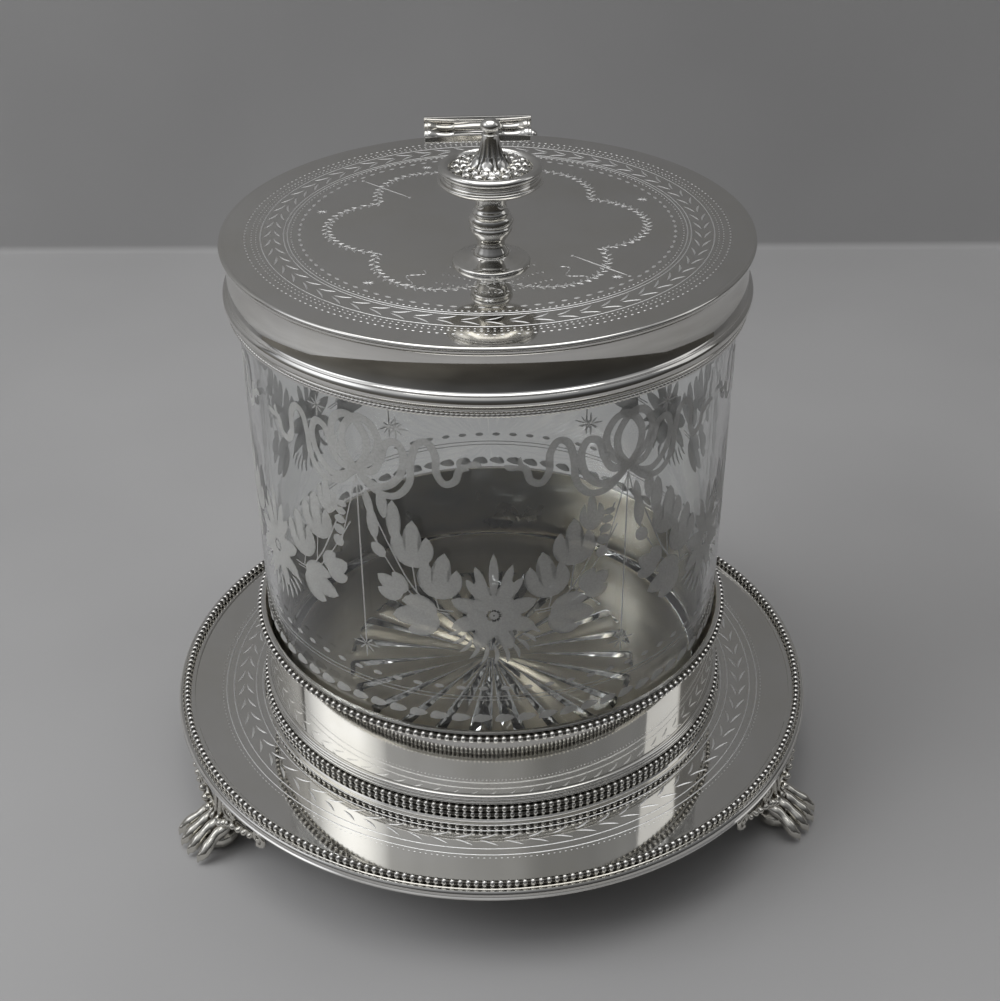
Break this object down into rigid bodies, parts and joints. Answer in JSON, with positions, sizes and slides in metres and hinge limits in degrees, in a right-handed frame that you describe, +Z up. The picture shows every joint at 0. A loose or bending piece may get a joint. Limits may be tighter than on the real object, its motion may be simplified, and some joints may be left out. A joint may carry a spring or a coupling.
{
  "type": "biscuit jar",
  "caption": "Footed tray with a beaded gallery ring that holds a loose engraved glass cylinder with a plated mount and a flat hinged lid with a turned finial.",
  "frame": {"origin": "on the table, on the upright axis of the tray", "axes": "+Z up, +Y to the back where the hinge is, -Y to the front, +X to the right"},
  "size_m": [0.2062, 0.2146, 0.2217],
  "materials": {
    "silver_plate": "polished silver plate with fine wear lines",
    "cast_silver": "cast and silvered, dark in the hollows",
    "finial_silver": "turned and cast, polished on the high parts",
    "white_metal": "dull white metal",
    "glass": "clear, with matt wheel engraving and a star cut bottom",
    "plaster": "old yellowed plaster"
  },
  "bodies": {
    "stand": {"tray": "silver_plate", "tray_border": "silver_plate", "tray_bead_wire": "silver_plate", "gallery_band": "silver_plate", "gallery_top_bead": "silver_plate", "gallery_upper_foot_bead": "silver_plate", "gallery_lower_foot_bead": "silver_plate", "gallery_reeds": "silver_plate", "foot_left": "cast_silver", "foot_right": "cast_silver", "foot_back": "cast_silver", "bracket_left": "cast_silver", "bracket_right": "cast_silver", "bracket_back": "cast_silver"},
    "jar": {"glass_jar": "glass", "plaster_bed": "plaster", "mount_band": "silver_plate", "mount_bead_wire": "silver_plate", "hinge_bracket": "silver_plate", "hinge_pin": "silver_plate"},
    "lid": {"lid_plate": "silver_plate", "lid_bezel": "silver_plate", "lid_hinge_leaf": "silver_plate", "finial_foot": "finial_silver", "finial_stem_lower": "finial_silver", "finial_stem_upper": "finial_silver", "finial_saucer": "finial_silver", "finial_leaf_crown": "finial_silver", "finial_ball": "finial_silver", "finial_screw": "white_metal", "finial_washer": "white_metal", "finial_nut": "white_metal"}
  },
  "joints": [
    {"name": "jar_lift", "type": "slide", "parent": "stand", "child": "jar", "axis": [0, 0, 1], "range_m": [0, 0.06]},
    {"name": "lid_hinge", "type": "hinge", "parent": "jar", "child": "lid", "pos_m": [0, 0.0778, 0.18], "axis": [-1, 0, 0], "range_deg": [0, 100]}
  ]
}
